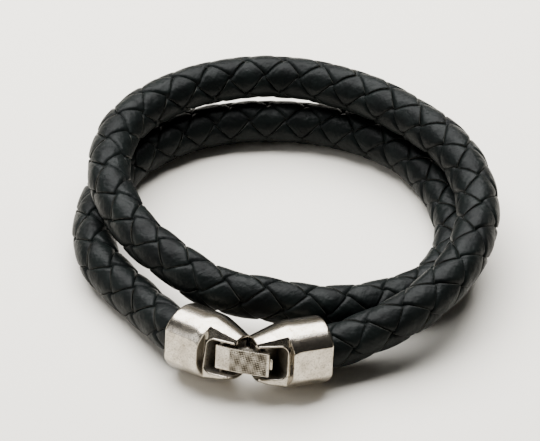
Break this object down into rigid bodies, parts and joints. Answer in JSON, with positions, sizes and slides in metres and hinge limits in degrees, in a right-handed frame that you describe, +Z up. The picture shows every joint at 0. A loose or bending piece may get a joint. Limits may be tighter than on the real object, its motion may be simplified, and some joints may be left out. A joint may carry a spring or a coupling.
{
  "type": "leather wrap bracelet",
  "caption": "Round braided leather cord wound twice round the wrist, its ends held in the two halves of a polished metal lever clasp.",
  "frame": {"origin": "middle of the outline on the surface that the bracelet lies on", "axes": "+Z up, -Y towards the clasp, +X to the right seen from the clasp side"},
  "size_m": [0.091, 0.0936, 0.0191],
  "materials": {
    "leather": "satin, smooth grain, near black",
    "core": "soft cotton",
    "silver": "polished silver-coloured alloy with fine pits"
  },
  "bodies": {
    "bracelet": {"strand_1": "leather", "strand_2": "leather", "strand_3": "leather", "strand_4": "leather", "strand_5": "leather", "strand_6": "leather", "core": "core", "hinge_shell": "silver", "catch_shell": "silver", "hinge_pin": "silver"},
    "lever": {"lever": "silver"}
  },
  "joints": [
    {"name": "lever_hinge", "type": "hinge", "parent": "bracelet", "child": "lever", "pos_m": [-0.01293, -0.04173, 0.00923], "axis": [-0.0457, -0.3056, -0.9511], "range_deg": [0, 75]}
  ]
}
